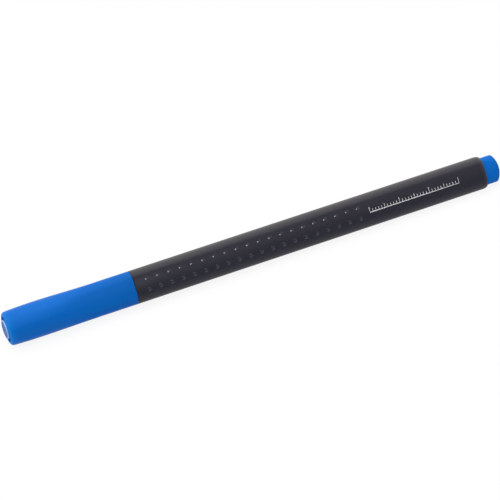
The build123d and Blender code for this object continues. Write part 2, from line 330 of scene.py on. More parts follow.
class StageSettings(PropertyGroup):
    """Floor, light and camera."""

    floor_size: length("Floor size", "Side of the floor", 6.0)
    floor_colour: colour("Floor colour", "Colour of the floor", (0.90, 0.90, 0.90))
    floor_white: share("Floor white", "How far the floor is lifted to white where it is seen", 0.90)
    ambient: share("Ambient", "Strength of the room's light on the object", 0.12)
    ceiling_power: watts("Ceiling power", "Power of the wide softbox overhead", 49.0)
    ceiling_size: length("Ceiling size", "Side of the softbox overhead", 2.4)
    ceiling_place: spot("Ceiling place", "Where the softbox overhead hangs", (-0.4, 0.0, 1.6))
    front_power: watts("Front power", "Power of the small softbox in front", 8.0)
    front_size: length("Front size", "Side of the softbox in front", 0.3)
    front_place: spot("Front place", "Where the softbox in front stands", (0.067, -1.97, 1.37))
    sky_radius: length("Sky radius", "Distance of the dome that gloss reflects", 2.9)
    sky_tint: colour("Sky tint", "Colour of the dome", (1.0, 0.96, 0.80))
    sky_gloss: share("Sky gloss", "Brightness of the dome where it is brightest", 2.4)
    sky_overhead: share("Sky overhead", "Share of that overhead and behind the pen", 0.967)
    sky_bright: share("Sky bright", "Share of the way to the front where the dome is still bright", 0.2)
    sky_dark: share("Sky dark", "Share of the way to the front where the dome is dark", 0.45)
    sky_low: share("Sky low", "Share of the brightness overhead that is left at the horizon", 0.5)
    sky_high: share("Sky high", "Share of the way to the top where the dome is fully bright", 0.5)
    sky_rear: share("Sky rear", "Share of the brightness on the rear end's side", 0.306)
    rear_start: share("Rear start", "Share of the way to the rear where its glow starts", 0.15)
    rear_full: share("Rear full", "Share of the way where that glow is full", 0.6)
    camera_azimuth: angle("Camera azimuth", "Turn of the camera round the pen", -18.0)
    camera_elevation: angle("Camera elevation", "Height of the camera over the horizon", 33.8705)
    camera_roll: angle("Camera roll", "Turn of the picture", -8.0875)
    camera_distance: length("Camera distance", "From the camera to its target", 0.8245)
    camera_target: length("Camera target", "Place of the target along the pen", -0.00224)
    camera_drop: length("Camera drop", "How far the target is below the pen's axis", 0.00053)
    camera_lens: FloatProperty(
        name="Lens", description="Focal length in millimetres", default=197.16, unit="CAMERA"
    )


class FinelinerSettings(PropertyGroup):
    """All sizes, finishes and stage settings."""

    barrel: PointerProperty(type=BarrelSizes)
    dots: PointerProperty(type=DotSizes)
    cap: PointerProperty(type=CapSizes)
    liner: PointerProperty(type=LinerSizes)
    nose: PointerProperty(type=NoseSizes)
    nib: PointerProperty(type=NibSizes)
    plug: PointerProperty(type=PlugSizes)
    scale: PointerProperty(type=PrintSizes)
    finishes: PointerProperty(type=FinishColours)
    stage: PointerProperty(type=StageSettings)


# Shapes


def across(turn):
    """Unit vectors across the pen at an angle from +Y towards +Z."""
    turn = np.asarray(turn, float)
    return np.stack([np.zeros_like(turn), np.cos(turn), np.sin(turn)], axis=-1)


class Section:
    """The barrel's rounded triangle, and the columns in which surfaces round the pen are drawn.

    Three corner arcs, whose centres stand `offset` from the axis, are tangent to three crowned face
    arcs, whose centres stand `setback` behind it. A column keeps one outward angle along the pen.
    """

    def __init__(self, sizes):
        spread = sizes.crown_radius - sizes.corner_radius
        self.corner_radius = sizes.corner_radius
        self.crown_radius = sizes.crown_radius
        self.offset = (BARREL_WIDTH / 2 - sizes.corner_radius) / math.sin(SIXTH_TURN)
        self.setback = (math.sqrt(4 * spread**2 - 3 * self.offset**2) - self.offset) / 2
        join = math.asin(self.offset * math.sin(SIXTH_TURN) / spread)
        face = np.linspace(-join, join, FACE_COLUMNS + 2)[1:-1]
        side = np.linspace(RIB_CLEAR_ANGLE, SIXTH_TURN - join, CORNER_COLUMNS)
        corner = np.concatenate([-side[::-1], RIB_COLUMNS, side])
        third = np.concatenate([face, corner + SIXTH_TURN])
        home = np.concatenate([np.full_like(face, math.pi), np.full_like(corner, SIXTH_TURN)])
        self.outward = (FACE_ANGLES[:, None] + third).ravel()
        self.home = (FACE_ANGLES[:, None] + home).ravel()
        self.at_corner = np.tile(np.arange(len(third)) >= len(face), len(FACE_ANGLES))
        first_rib = len(face) + len(side)
        ribs = first_rib + np.arange(len(RIB_COLUMNS))
        self.rib_columns = ribs + len(third) * np.arange(len(FACE_ANGLES))[:, None]

    def skin(self, rows):
        """Points of the surface whose rows are given by place, inset, share and radius.

        A row is the outline moved by its share of the way to a circle of its radius, and drawn in
        by its inset: centre of the column's arc plus the arc's radius along the outward angle.
        """
        place, inset, share_round, radius = rows
        keep = 1 - share_round
        corner = (self.offset + self.corner_radius) * keep + radius * share_round
        corner = corner - self.offset * keep - inset
        face = corner + (self.crown_radius - self.corner_radius) * keep
        reach = np.where(self.at_corner, self.offset, self.setback) * keep[:, None]
        swing = np.where(self.at_corner, corner[:, None], face[:, None])
        points = reach[..., None] * across(self.home) + swing[..., None] * across(self.outward)
        points[..., 0] = place[:, None]
        points[..., 2] += AXIS_HEIGHT
        return points

    def on_face(self, face, place, beside, over):
        """Points at some height over a crowned face, by place along the pen and distance across it.

        The face is an arc of the crown radius, so a point stands on it at arcsin(distance / radius)
        from its middle.
        """
        lean = face + np.arcsin(beside / self.crown_radius)
        reach = np.asarray(self.crown_radius + over)[..., None]
        points = reach * across(lean) - self.setback * across(face)
        points[..., 0] = place
        points[..., 2] += AXIS_HEIGHT
        return points


def stretch(place, inset=0.0, share_round=0.0, radius=0.0):
    """Rows of a surface; what stays the same along the stretch may be one number."""
    rows = np.broadcast_arrays(*np.atleast_1d(place, inset, share_round, radius))
    return np.stack(rows)


def turned(points):
    """Round rows through points of place and radius."""
    place, radius = np.asarray(points, float).T
    return stretch(place, 0.0, 1.0, radius)


def joined(*stretches):
    """Stretches of rows, one after the other."""
    return np.concatenate(stretches, axis=1)


def eased(points, size):
    """A line of points whose corners are rounded.

    Each corner b gives way to the curve (1-t)^2 a + 2t(1-t) b + t^2 c, whose ends a and c lie on
    the two runs, `size` from the corner or not quite halfway along a shorter run.
    """
    points = np.asarray(points, float)
    corner = points[1:-1]

    def towards(end):
        run = end - corner
        reach = np.linalg.norm(run, axis=1, keepdims=True)
        return corner + run * np.minimum(size / reach, EASE_SHARE)

    start, end = towards(points[:-2]), towards(points[2:])
    t = np.linspace(0, 1, EDGE_STEPS)[:, None]
    curve = [(1 - t) ** 2 * start[:, None], 2 * t * (1 - t) * corner[:, None], t**2 * end[:, None]]
    return np.concatenate([points[:1], sum(curve).reshape(-1, 2), points[-1:]])


def quarter(steps=EDGE_STEPS):
    """Angles from 0 to a quarter turn."""
    return np.linspace(0, QUARTER_TURN, steps)


def surface(name, grids, closed_rows=False, closed_columns=True, start=None, end=None):
    """A mesh of quads over grids of points, shape (copies, rows, columns, 3).

    Columns that turn from +Y to +Z and rows that run along +X face outwards. Rows may close into
    a ring, and `start` and `end` are pole points that close the first and the last row.
    """
    grids = np.asarray(grids, float)
    copies, rows, columns = grids.shape[:3]
    place = np.arange(rows * columns).reshape(rows, columns)
    if closed_rows:
        place = np.vstack([place, place[:1]])
    around = np.roll(place, -1, axis=1)
    if not closed_columns:
        place, around = place[:, :-1], around[:, :-1]
    quads = np.stack([place[:-1], around[:-1], around[1:], place[1:]], axis=-1).reshape(-1, 4)
    vertices = [grids.reshape(copies, -1, 3)]
    pole = rows * columns
    fans = []
    if start is not None:
        vertices.append(np.reshape(start, (copies, 1, 3)))
        fans.append(np.stack([np.full(columns, pole), around[0], place[0]], axis=-1))
        pole += 1
    if end is not None:
        vertices.append(np.reshape(end, (copies, 1, 3)))
        fans.append(np.stack([place[-1], around[-1], np.full(columns, pole)], axis=-1))
    vertices = np.concatenate(vertices, axis=1)
    shift = np.arange(copies)[:, None, None] * vertices.shape[1]
    faces = []
    for part in [quads, *fans]:
        faces += (part + shift).reshape(-1, part.shape[1]).tolist()
    mesh = bpy.data.meshes.new(name)
    mesh.from_pydata(vertices.reshape(-1, 3).tolist(), [], faces)
    mesh.shade_smooth()
    mesh.set_sharp_from_angle(angle=SHARP_EDGE)
    return mesh


def on_axis(place):
    """A point on the pen's axis."""
    return (place, 0.0, AXIS_HEIGHT)


def add_object(name, data):
    """Puts a mesh, lamp or camera into the scene."""
    thing = bpy.data.objects.new(name, data)
    bpy.context.scene.collection.objects.link(thing)
    return thing


def add_piece(name, mesh, finish, body, slot, *nodes):
    """Adds a mesh as a piece that rides on a body, has a material slot and stands for CAD nodes. The
    slot argument is not used.
    """
    piece = add_object(name, mesh)
    mesh.materials.append(finish)
    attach(piece, body)
    if nodes:
        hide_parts(*nodes)
    return piece


def barrel_surface(sizes, section):
    """Tube: the outline carried along X, its front edge rounded and its rear edge drawn in.

    The rear edge follows a quarter of an ellipse, and the inside is the outline drawn in by the
    wall.
    """
    turn = quarter()
    front = BARREL_FRONT + sizes.edge_break * (1 - np.cos(turn))
    straight_start = BARREL_FRONT + sizes.edge_break
    straight_end = BARREL_REAR - sizes.rear_length
    straight = np.linspace(straight_start, straight_end, STRAIGHT_ROWS)
    turn_rear = quarter(2 * EDGE_STEPS)
    rear = BARREL_REAR - sizes.rear_length * (1 - np.sin(turn_rear))
    rows = joined(
        stretch(front, sizes.edge_break * (1 - np.sin(turn))),
        stretch(straight[1:]),
        stretch(rear[1:], sizes.rear_depth * (1 - np.cos(turn_rear[1:]))),
        stretch(np.linspace(BARREL_REAR, BARREL_FRONT, STRAIGHT_ROWS), sizes.wall),
    )
    return surface("barrel_tube", [section.skin(rows)], closed_rows=True)


def dot_surface(name, dots, section, face):
    """Two rows of low domes on one face.

    A dome is the top of a ball: at a distance r from its middle it stands sqrt(ball^2 - r^2) over
    the ball's centre, and its rim goes straight down into the face.
    """
    rim = dots.diameter / 2
    ball = (rim**2 + dots.height**2) / (2 * dots.height)
    ring = np.linspace(rim, 0, DOT_RINGS + 1)[:-1]
    reach = np.concatenate([ring[:1], ring])[:, None]
    over = np.sqrt(ball**2 - ring**2) - (ball - dots.height)
    over = np.concatenate([[-dots.bed], over])[:, None]
    turn = np.linspace(0, 2 * math.pi, DOT_SEGMENTS, endpoint=False)
    row = np.repeat([-dots.row_offset, dots.row_offset], dots.count)[:, None, None]
    place = BARREL_FRONT + dots.first + dots.pitch * np.tile(np.arange(dots.count), 2)[:, None, None]
    points = section.on_face(face, place + reach * np.cos(turn), row + reach * np.sin(turn), over)
    bottom = section.on_face(face, place, row, -dots.bed)
    top = section.on_face(face, place, row, dots.height)
    return surface(name, points, start=bottom, end=top)


class CapForm:
    """How the cap's outline changes with the depth from its mouth."""

    def __init__(self, sizes):
        self.sizes = sizes
        self.depth = CAP_MOUTH - CAP_END
        self.widest = self.depth - sizes.crown_length
        self.radius = CAP_WIDTH / 2
        drop = self.radius - sizes.end_radius
        self.crown_arc = (sizes.crown_length**2 + drop**2) / (2 * drop)

    def rows(self, depth, inset=0.0):
        """Rows at some depths.

        The share of the way to a circle eases from the sleeve to the widest place as
        s^2 (3 - 2s), and beyond it the radius falls along an arc.
        """
        depth = np.atleast_1d(depth)
        swell = (depth - self.sizes.sleeve) / (self.widest - self.sizes.sleeve)
        swell = np.clip(swell, 0, 1)
        beyond = np.maximum(depth - self.widest, 0)
        fall = self.crown_arc - np.sqrt(self.crown_arc**2 - beyond**2)
        return stretch(CAP_MOUTH - depth, inset, swell**2 * (3 - 2 * swell), self.radius - fall)

    def end_edge(self):
        """Points of depth and radius round the end's edge, an arc tangent to crown and end face."""
        round_radius = self.sizes.end_round
        arc = self.crown_arc - round_radius
        middle = self.depth - round_radius
        lean = math.asin((middle - self.widest) / arc)
        height = self.radius - self.crown_arc + arc * math.cos(lean)
        turn = np.linspace(QUARTER_TURN, lean, 2 * EDGE_STEPS)
        return middle + round_radius * np.sin(turn), height + round_radius * np.cos(turn)


def with_ribs(points, rows, section, sizes):
    """Presses the corner columns of some rows into ribs.

    The four middle columns of a corner stand half a rib's width to either side of it, two of them
    on the wall and two at the ribs' inner radius.
    """
    keep = 1 - rows[2]
    corner = (section.offset + section.corner_radius) * keep + rows[3] * rows[2]
    corner = corner - section.offset * keep - rows[1]
    half = sizes.rib_width / 2
    wall = section.offset * keep + np.sqrt(corner**2 - half**2)
    inner = np.full_like(wall, sizes.rib_radius)
    reach = np.stack([wall, inner, inner, wall], axis=-1)[:, None, :, None]
    side = np.array([-half, -half, half, half])[:, None]
    out = across(FACE_ANGLES + SIXTH_TURN)[:, None]
    beside = across(FACE_ANGLES + SIXTH_TURN + QUARTER_TURN)[:, None]
    pressed = reach * out + side * beside
    pressed[..., 0] = rows[0][:, None, None]
    pressed[..., 2] += AXIS_HEIGHT
    points[:, section.rib_columns] = pressed
    return points


def cap_surface(sizes, section):
    """Shell: from the vent's edge round the end, along the outside to the mouth, and back inside."""
    form = CapForm(sizes)
    edge_depth, edge_radius = form.end_edge()
    vent = eased(
        [
            (form.depth - sizes.end_wall / 2, sizes.vent_radius),
            (form.depth, sizes.vent_radius),
            (form.depth, edge_radius[0]),
        ],
        sizes.edge_break,
    )
    crown = np.linspace(edge_depth[-1], form.widest, CROWN_ROWS)[1:]
    swell = np.linspace(form.widest, sizes.sleeve, SWELL_ROWS)[1:]
    sleeve = np.linspace(sizes.sleeve, sizes.edge_break, STRAIGHT_ROWS)[1:]
    turn = quarter()[1:]
    outside = joined(
        turned(np.stack([CAP_MOUTH - vent[:-1, 0], vent[:-1, 1]], axis=-1)),
        turned(np.stack([CAP_MOUTH - edge_depth, edge_radius], axis=-1)),
        form.rows(np.concatenate([crown, swell, sleeve])),
        form.rows(sizes.edge_break * (1 - np.sin(turn)), sizes.edge_break * (1 - np.cos(turn))),
        form.rows(0, sizes.wall - sizes.edge_break),
    )
    rib_end = form.depth - sizes.rib_setback
    mouth = form.rows([sizes.edge_break, sizes.rib_start - sizes.rib_ramp], sizes.wall)
    ribbed = form.rows(np.linspace(sizes.rib_start, rib_end, SWELL_ROWS), sizes.wall)
    bottom = form.depth - sizes.end_wall
    behind = form.rows(np.linspace(rib_end + sizes.rib_ramp, bottom, EDGE_STEPS), sizes.wall)
    vent_inside = turned([(CAP_MOUTH - bottom, sizes.vent_radius)])
    points = [
        section.skin(joined(outside, mouth)),
        with_ribs(section.skin(ribbed), ribbed, section, sizes),
        section.skin(joined(behind, vent_inside)),
    ]
    return surface("cap_moulding", [np.concatenate(points)], closed_rows=True)


def liner_surface(sizes, section):
    """Cup: a turned profile from the boss, along the outside to the mouth, and back down the bore."""
    boss = sizes.boss_radius
    flange_front = CAP_END + sizes.flange_setback
    flange_rear = flange_front - sizes.flange_length
    floor = CAP_END + sizes.end_length
    points = [
        (BOSS_END, boss * POLE_SHARE),
        (BOSS_END, boss - sizes.boss_chamfer),
        (BOSS_END + sizes.boss_chamfer, boss),
        (flange_rear, boss),
        (flange_rear, sizes.flange_radius),
        (flange_front, sizes.flange_radius),
        (flange_front, sizes.body_radius),
        (LINER_MOUTH, sizes.body_radius),
        (LINER_MOUTH, sizes.bore_radius + sizes.lead_in),
        (LINER_MOUTH - sizes.lead_in, sizes.bore_radius),
        (floor, sizes.bore_radius),
        (floor, boss * POLE_SHARE),
    ]
    rows = turned(eased(points, sizes.edge_round))
    grid = section.skin(rows)
    return surface("liner_cup", [grid], start=on_axis(BOSS_END), end=on_axis(floor))


def nose_surface(sizes, section):
    """Stopper: a turned cone, land and seat, then the three-sided collar and spigot, and the hollow."""
    front = BARREL_FRONT
    bead_half = sizes.bead_length / 2
    collar_front = front - sizes.collar_length
    cone = [
        (NOSE_TIP, sizes.tube_hole),
        (NOSE_TIP, sizes.tip_radius - sizes.tip_round),
        (NOSE_TIP + sizes.tip_round, sizes.tip_radius),
        (front - sizes.land_end, sizes.land_radius),
        (front - sizes.seat_end - sizes.step_length, sizes.land_radius),
        (front - sizes.seat_end, sizes.seat_radius),
        (front - sizes.bead_at - bead_half, sizes.seat_radius),
        (front - sizes.bead_at, sizes.bead_radius),
        (front - sizes.bead_at + bead_half, sizes.seat_radius),
        (collar_front, sizes.seat_radius),
    ]
    collar = eased(
        [
            (collar_front, sizes.collar_inset + 2 * sizes.lead_in),
            (collar_front, sizes.collar_inset + sizes.lead_in),
            (collar_front + sizes.lead_in, sizes.collar_inset),
            (front, sizes.collar_inset),
        ],
        sizes.edge_round,
    )
    core_hole = NIB_WIDTH / 2 + (sizes.tube_hole - TUBE_WIDTH / 2)
    pocket_bottom = front - sizes.pocket_end
    hollow = [
        (NOSE_REAR, sizes.pocket_radius),
        (pocket_bottom, sizes.pocket_radius),
        (pocket_bottom, core_hole),
        (TUBE_REAR, core_hole),
        (TUBE_REAR, sizes.tube_hole),
    ]
    rows = joined(
        turned(eased(cone, sizes.edge_round)),
        stretch(collar[:, 0], collar[:, 1]),
        stretch(np.array([front, NOSE_REAR]), sizes.spigot_inset),
        turned(hollow),
    )
    return surface("nose_cone", [section.skin(rows)], closed_rows=True)


def tube_surface(sizes, section):
    """Steel tube: a turned profile that narrows to a lip round the fibre."""
    outer = TUBE_WIDTH / 2
    points = [
        (TUBE_FRONT, sizes.hole_radius),
        (TUBE_FRONT, sizes.hole_radius + sizes.lip),
        (TUBE_FRONT + sizes.neck_length, outer),
        (TUBE_REAR, outer),
        (TUBE_REAR, sizes.hole_radius),
    ]
    rows = turned(eased(points, sizes.edge_round))
    return surface("nib_sleeve", [section.skin(rows)], closed_rows=True)


def fibre_surface(sizes, section):
    """Fibre rod: a round point, a short cone and a straight rod, turned about the axis."""
    turn = quarter()[1:]
    point = np.stack([1 - np.cos(turn), np.sin(turn)], axis=-1) * sizes.tip_radius
    point[:, 0] += NIB_TIP
    rod = [(TUBE_FRONT, NIB_WIDTH / 2), (NIB_REAR, NIB_WIDTH / 2)]
    grid = section.skin(turned(np.concatenate([point, rod])))
    return surface("nib_point", [grid], start=on_axis(NIB_TIP), end=on_axis(NIB_REAR))


def plug_surface(sizes, section):
    """Plug: hollow spigot, three-sided head and a domed end.

    The dome falls away from its flat middle along an arc of the distance from the axis, and the
    edge between side and dome follows a quarter circle.
    """
    tip = section.offset + section.corner_radius - sizes.head_inset
    run = tip - sizes.flat_radius
    arc = (run**2 + sizes.dome_depth**2) / (2 * sizes.dome_depth)

    def fall(points):
        reach = np.hypot(points[..., 1], points[..., 2] - AXIS_HEIGHT)
        beyond = np.maximum(reach - sizes.flat_radius, 0)
        return arc - np.sqrt(arc**2 - beyond**2)

    pocket_inset = sizes.spigot_inset + sizes.spigot_wall
    floor = PLUG_FRONT + sizes.pocket_depth
    inside = stretch(np.array([floor, PLUG_FRONT, PLUG_FRONT]), pocket_inset)
    inside[1, 2] = sizes.spigot_inset
    step = stretch(np.array([BARREL_REAR, BARREL_REAR]), [sizes.spigot_inset, sizes.head_inset])
    turn = quarter(2 * EDGE_STEPS)
    edge = stretch(0 * turn, sizes.head_inset + sizes.edge_round * (1 - np.cos(turn)))
    grid = section.skin(joined(inside, step))
    rim = section.skin(edge)
    rim[..., 0] = PLUG_END - fall(rim) - (sizes.edge_round * (1 - np.sin(turn)))[:, None]
    centre = np.array(on_axis(PLUG_END))
    shrink = np.linspace(1, 0, CROWN_ROWS)[1:-1, None, None]
    dome = centre + (rim[-1] - centre) * shrink
    dome[..., 0] = PLUG_END - fall(dome)
    points = [np.concatenate([grid, rim, dome])]
    return surface("plug_moulding", points, start=on_axis(floor), end=on_axis(PLUG_END))


def print_surface(sizes, section, face):
    """Flat marks on the front face: a rule and ticks of three heights, as on a ruler.

    Each mark is a rectangle of places along the pen and distances across the face, laid on the
    crowned face.
    """
    start = BARREL_FRONT + sizes.start
    ticks = np.arange(0, sizes.rule_length + sizes.tick_pitch / 2, sizes.tick_pitch)
    number = np.arange(len(ticks))
    steps = (number % MEDIUM_TICK == 0).astype(int) + (number % LONG_TICK == 0)
    tall = 1 + sizes.tick_growth * steps
    low = np.full(len(ticks), -sizes.rule_drop)
    left = np.append(start + ticks - sizes.tick_width / 2, start - sizes.tick_width / 2)
    right = np.append(
        start + ticks + sizes.tick_width / 2, start + sizes.rule_length + sizes.tick_width / 2
    )
    bottom = np.append(low + sizes.rule_width / 2, -sizes.rule_drop - sizes.rule_width / 2)
    top = np.append(low + sizes.tick_height * tall, -sizes.rule_drop + sizes.rule_width / 2)
    place = np.stack([left, right], axis=-1)[:, :, None]
    up_share = np.linspace(1, 0, TICK_ROWS)
    distance = bottom[:, None] + (top - bottom)[:, None] * up_share
    distance = np.repeat(distance[:, None], 2, axis=1)
    points = section.on_face(face, place, -distance, sizes.lift)
    return surface("printed_scale", points, closed_columns=False)


# Finishes


class Value:
    """A node's output, on which shader maths is written as plain arithmetic."""

    def __init__(self, finish, socket):
        self.finish = finish
        self.socket = socket

    def math(self, operation, first, second):
        return self.finish.node("ShaderNodeMath", {"operation": operation}, {0: first, 1: second})

    def __add__(self, other):
        return self.math("ADD", self, other)

    def __radd__(self, other):
        return self.math("ADD", other, self)

    def __sub__(self, other):
        return self.math("SUBTRACT", self, other)

    def __rsub__(self, other):
        return self.math("SUBTRACT", other, self)

    def __mul__(self, other):
        return self.math("MULTIPLY", self, other)

    def __rmul__(self, other):
        return self.math("MULTIPLY", other, self)


class Finish:
    """The nodes of a material or of the world."""

    def __init__(self, owner):
        owner.use_nodes = True
        self.owner = owner
        self.tree = owner.node_tree
        self.tree.nodes.clear()

    def node(self, kind, settings=None, inputs=None, output=0):
        """Adds a node, its settings first and then its sockets' values or links."""
        node = self.tree.nodes.new(kind)
        for name, value in (settings or {}).items():
            setattr(node, name, value)
        for key, value in (inputs or {}).items():
            if isinstance(value, Value):
                self.tree.links.new(value.socket, node.inputs[key])
            else:
                node.inputs[key].default_value = value
        return Value(self, node.outputs[output]) if len(node.outputs) else None

    def place(self, scale=(1.0, 1.0, 1.0)):
        """Object coordinates, stretched."""
        coordinates = self.node("ShaderNodeTexCoord", output="Object")
        return self.node("ShaderNodeMapping", None, {"Vector": coordinates, "Scale": scale})

    def axis(self, name, scale=(1.0, 1.0, 1.0)):
        """One object coordinate, stretched."""
        return self.node("ShaderNodeSeparateXYZ", None, {0: self.place(scale)}, name)

    def noise(self, scale, detail=2.0):
        """Noise from 0 to 1 with so many features to the metre along each axis."""
        inputs = {"Vector": self.place(scale), "Scale": 1.0, "Detail": detail}
        return self.node("ShaderNodeTexNoise", None, inputs)

    def ramp(self, value, low, high):
        """A value from low to high, as 0 to 1 with soft ends."""
        inputs = {"Value": value, "From Min": low, "From Max": high}
        return self.node("ShaderNodeMapRange", {"interpolation_type": "SMOOTHSTEP"}, inputs)

    def mix(self, factor, first, second):
        """One colour into another."""
        inputs = {MIX_FACTOR: factor, MIX_FIRST: (*first, 1.0), MIX_SECOND: (*second, 1.0)}
        return self.node("ShaderNodeMix", {"data_type": "RGBA"}, inputs, MIX_RESULT)

    def tones(self, factor, base, low, high):
        """A colour between a darker and a lighter tone of itself."""
        return self.mix(factor, tinted(base, low), tinted(base, high))

    def bump(self, height, distance):
        """A normal from a height between 0 and 1 that stands for a distance."""
        inputs = {"Height": height, "Distance": distance, "Strength": 1.0}
        return self.node("ShaderNodeBump", None, inputs)

    def close(self, shader):
        """Ends a material with a shader."""
        self.node("ShaderNodeOutputMaterial", None, {"Surface": shader})
        return self.owner

    def surface(self, inputs):
        """Ends a material with a Principled shader."""
        return self.close(self.node("ShaderNodeBsdfPrincipled", None, inputs))


def new_finish(name):
    """An empty material."""
    return Finish(bpy.data.materials.new(name))


def tinted(base, factor):
    """A colour made darker or lighter."""
    return tuple(min(channel * factor, 1.0) for channel in base)


def moulded_plastic(name, base, roughness, gloss, glow=None, painted_glow_length=0.0):
    """Moulded plastic: fine grain, faint flow lines along the pen and slightly uneven gloss.

    With a glow it is the cap's: painted shade darkens it where the black nose stands behind it, and a
    painted glow, emission at its thin end, stands in for light coming through the plastic.
    """
    finish = new_finish(name)
    flow = finish.noise(FLOW_GRAIN, 3.0)
    cloud = finish.noise(PLASTIC_CLOUD)
    fine = finish.noise(PLASTIC_FINE, 1.0)
    uneven = 0.5 * flow + 0.5 * cloud
    inputs = {
        "Base Color": finish.tones(uneven, base, 0.94, 1.06),
        "Roughness": roughness + 0.10 * (uneven - 0.5),
        "Specular IOR Level": gloss,
        "Normal": finish.bump(fine, PLASTIC_DEPTH),
    }
    if glow:
        along = finish.axis("X")
        # Painted shade: the cap is darker towards its mouth, where the black nose stands behind it.
        tone = 0.5 * uneven + 0.5 * finish.ramp(along, CAP_MOUTH, NOSE_TIP)
        inputs["Base Color"] = finish.tones(tone, base, 0.82, 1.06)
        # Painted glow: emission at the cap's thin end stands in for light coming through the plastic.
        painted_glow_fade = finish.ramp(along, CAP_END, CAP_END + painted_glow_length)
        inputs["Emission Color"] = finish.mix(painted_glow_fade, glow, BLACK)
        inputs["Emission Strength"] = 1.0
    return finish.surface(inputs)


def satin_black(finishes):
    """Black plastic of the barrel and the nose."""
    gloss = finishes.black_gloss
    return moulded_plastic("satin_black", finishes.black, finishes.black_roughness, gloss)


def soft_black(finishes):
    """Rubber of the grip dots: a little glossier than the barrel, with a soft unevenness."""
    finish = new_finish("soft_black")
    cloud = finish.noise(RUBBER_CLOUD)
    fine = finish.noise(RUBBER_FINE, 1.0)
    return finish.surface(
        {
            "Base Color": finish.tones(cloud, finishes.rubber, 0.9, 1.1),
            "Roughness": finishes.rubber_roughness + 0.12 * (cloud - 0.5),
            "Specular IOR Level": finishes.rubber_gloss,
            "Normal": finish.bump(fine, RUBBER_DEPTH),
        }
    )


def satin_blue(finishes):
    """Blue plastic of the end plug."""
    blue, roughness, gloss = finishes.blue, finishes.blue_roughness, finishes.blue_gloss
    return moulded_plastic("satin_blue", blue, roughness, gloss)


def cap_blue_painted_light(finishes):
    """The same plastic on the cap, with painted shade where the black nose stands behind it and a
    painted glow at its thin end.
    """
    blue, roughness, gloss = finishes.blue, finishes.blue_roughness, finishes.blue_gloss
    glow, reach = finishes.painted_cap_glow, finishes.painted_glow_length
    return moulded_plastic("cap_blue_painted_light", blue, roughness, gloss, glow, reach)


def cup_painted_light(finishes, edge):
    """Slightly translucent plastic of the cup in the cap.

    A painted highlight makes the edge of its boss pale where that stands out of the cap, and inside the
    cap a painted glow stands in for the little light that comes through the shell.
    """
    finish = new_finish("cup_painted_light")
    cloud = finish.noise(CUP_CLOUD, 3.0)
    fine = finish.noise(CUP_FINE, 1.0)
    beside = finish.axis("Y")
    over = finish.axis("Z") - AXIS_HEIGHT
    # Painted highlight: the boss's edge is painted pale where it stands out of the cap's end; deeper in
    # the gap it keeps the darker cup blue, as painted shade.
    painted_rim_start, painted_rim_full = finishes.painted_rim_start * edge, finishes.painted_rim_full * edge
    rim = finish.ramp(beside * beside + over * over, painted_rim_start**2, painted_rim_full**2)
    outside = finish.ramp(finish.axis("X"), CAP_END, (CAP_END + BOSS_END) / 2)
    tone = 0.9 * rim * outside + 0.1 * cloud
    return finish.surface(
        {
            "Base Color": finish.mix(tone, finishes.cup_blue, finishes.pale_blue),
            "Roughness": finishes.pale_blue_roughness + 0.1 * (cloud - 0.5),
            "Specular IOR Level": finishes.pale_blue_gloss,
            # Painted glow: emission deeper than the cap's end stands in for light that comes through
            # the shell.
            "Emission Color": finish.mix(outside, finishes.painted_cup_glow, BLACK),
            "Emission Strength": 1.0,
            "Normal": finish.bump(fine, PLASTIC_DEPTH),
        }
    )


def drawn_steel(finishes):
    """Steel of the nib's tube, with fine lines along the draw."""
    finish = new_finish("drawn_steel")
    lines = finish.noise(STEEL_GRAIN, 3.0)
    return finish.surface(
        {
            "Base Color": finish.tones(lines, finishes.steel, 0.85, 1.1),
            "Metallic": 1.0,
            "Roughness": 0.22 + 0.16 * lines,
            "Normal": finish.bump(lines, STEEL_DEPTH),
        }
    )


def inked_fibre(finishes):
    """Fibre of the nib, drawn along the pen and soaked with ink."""
    finish = new_finish("inked_fibre")
    fibres = finish.noise(NIB_GRAIN, 3.0)
    return finish.surface(
        {
            "Base Color": finish.tones(fibres, finishes.ink, 0.6, 1.4),
            "Roughness": 0.65 + 0.25 * fibres,
            "Normal": finish.bump(fibres, NIB_DEPTH),
        }
    )


def soaked_fibre(finishes):
    """Fibre of the reservoir: ink that thins out towards the rear, with fibres along the pen."""
    finish = new_finish("soaked_fibre")
    fibres = finish.noise(STORE_GRAIN, 3.0)
    dry = finish.ramp(finish.axis("X") + 0.01 * fibres, RESERVOIR_FRONT, RESERVOIR_REAR)
    return finish.surface(
        {
            "Base Color": finish.mix(dry, finishes.ink, finishes.dry_fibre),
            "Roughness": 0.7 + 0.2 * fibres,
            "Normal": finish.bump(fibres, STORE_DEPTH),
        }
    )


def clear_film(finishes):
    """Thin film round the reservoir, slightly creased."""
    finish = new_finish("clear_film")
    creases = finish.noise(FILM_GRAIN)
    return finish.surface(
        {
            "Base Color": (*finishes.film, 1.0),
            "Roughness": 0.08 + 0.14 * creases,
            "Alpha": 0.25 + 0.15 * creases,
            "Normal": finish.bump(creases, FILM_DEPTH),
        }
    )


def white_ink(finishes):
    """Printed ink, a little thinner in places."""
    finish = new_finish("white_ink")
    thin = finish.noise(INK_CLOUD)
    return finish.surface(
        {
            "Base Color": finish.tones(thin, finishes.white_ink, 1.0, 0.8),
            "Roughness": 0.45 + 0.15 * thin,
        }
    )


def dress(node, finish):
    """Gives a CAD node that stays its finish."""
    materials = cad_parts[node].data.materials
    materials.clear()
    materials.append(finish)


# Stage


def seen_rays(finish):
    """1 for rays from the camera and for those that metal or glass sends on, else 0."""
    kinds = ("Is Camera Ray", "Is Glossy Ray", "Is Transmission Ray")
    camera, glossy, passed = (finish.node("ShaderNodeLightPath", output=kind) for kind in kinds)
    return finish.node("ShaderNodeClamp", None, {"Value": camera + glossy + passed})


